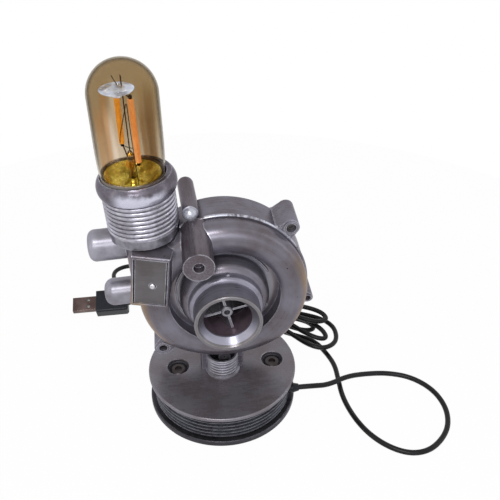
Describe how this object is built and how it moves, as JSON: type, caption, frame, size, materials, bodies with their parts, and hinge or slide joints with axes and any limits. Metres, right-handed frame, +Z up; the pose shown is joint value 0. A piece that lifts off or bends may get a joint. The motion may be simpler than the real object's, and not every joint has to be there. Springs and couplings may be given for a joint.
{
  "type": "desk lamp",
  "caption": "Desk lamp shaped like a turbocharger: ribbed round base, scroll housing with spinning wheel, switch box, threaded holder with tubular filament bulb, hanked cord.",
  "frame": {"origin": "centre of the underside of the round base, on the table", "axes": "+Z up; -Y is the front, out of the inlet pipe along the wheel axis; +X to the right, where the cord leaves"},
  "size_m": [0.2627, 0.2231, 0.2425],
  "materials": {
    "aged_metal": "satin silver paint over cast metal, brushed and scuffed",
    "dark_metal": "dark satin, fine ribs",
    "bright_metal": "satin",
    "fastener_steel": "dull",
    "bush_bronze": "turned",
    "grey_plate": "satin",
    "black_plastic": "moulded",
    "brass": "bright",
    "nickel": "bright",
    "amber_glass": "clear amber",
    "clear_glass": "clear",
    "filament": "coated rods",
    "white_plastic": "moulded",
    "cord_rubber": "satin",
    "foot_rubber": "matt"
  },
  "bodies": {
    "lamp": {"back_plate": "aged_metal", "base_bolts": "fastener_steel", "base_bottom_flange": "aged_metal", "base_ribbed_drum": "dark_metal", "base_top_plate": "aged_metal", "bottom_flange_screws": "fastener_steel", "column_tube": "aged_metal", "cord_grommet": "black_plastic", "cord_hank": "cord_rubber", "cord_lead": "cord_rubber", "cord_tail": "cord_rubber", "foot_pad": "foot_rubber", "hank_tie": "black_plastic", "holder_body": "aged_metal", "holder_centre_contact": "brass", "holder_insulator": "black_plastic", "holder_screw_shell": "brass", "inlet_collar": "aged_metal", "inlet_pipe": "aged_metal", "inner_lead": "cord_rubber", "lower_side_stub": "aged_metal", "lug_screws": "fastener_steel", "pedestal": "aged_metal", "plug_body": "black_plastic", "plug_contacts": "brass", "plug_shell": "nickel", "plug_tongue": "white_plastic", "rear_cover": "aged_metal", "rear_cover_screws": "fastener_steel", "rear_tube": "aged_metal", "retaining_ring": "bright_metal", "scroll_housing": "aged_metal", "shade_ring": "aged_metal", "shaft_bush": "bush_bronze", "stem_nut": "fastener_steel", "stem_rod": "fastener_steel", "stem_washer": "fastener_steel", "switch_body": "black_plastic", "switch_plate": "grey_plate", "upper_side_stub": "aged_metal", "valve_barrel": "aged_metal"},
    "wheel": {"compressor_wheel": "bright_metal", "wheel_shaft": "bright_metal", "shaft_clip": "fastener_steel"},
    "button": {"switch_button": "bright_metal"},
    "bulb": {"bulb_glass": "amber_glass", "bulb_cap": "nickel", "bulb_cap_insulator": "black_plastic", "bulb_tip_contact": "brass", "bulb_stem": "clear_glass", "bulb_filaments": "filament", "filament_supports": "nickel"}
  },
  "joints": [
    {"name": "wheel_spin", "type": "hinge", "parent": "lamp", "child": "wheel", "pos_m": [0.002, -0.0053, 0.0961], "axis": [0, -1, 0], "continuous": true},
    {"name": "button_press", "type": "slide", "parent": "lamp", "child": "button", "axis": [0.1392, 0.9903, 0], "range_m": [0, 0.0008], "stiffness_N_per_m": 800},
    {"name": "bulb_unscrew", "type": "slide", "parent": "lamp", "child": "bulb", "axis": [-0.0175, 0, 0.9998], "range_m": [0, 0.04]}
  ]
}
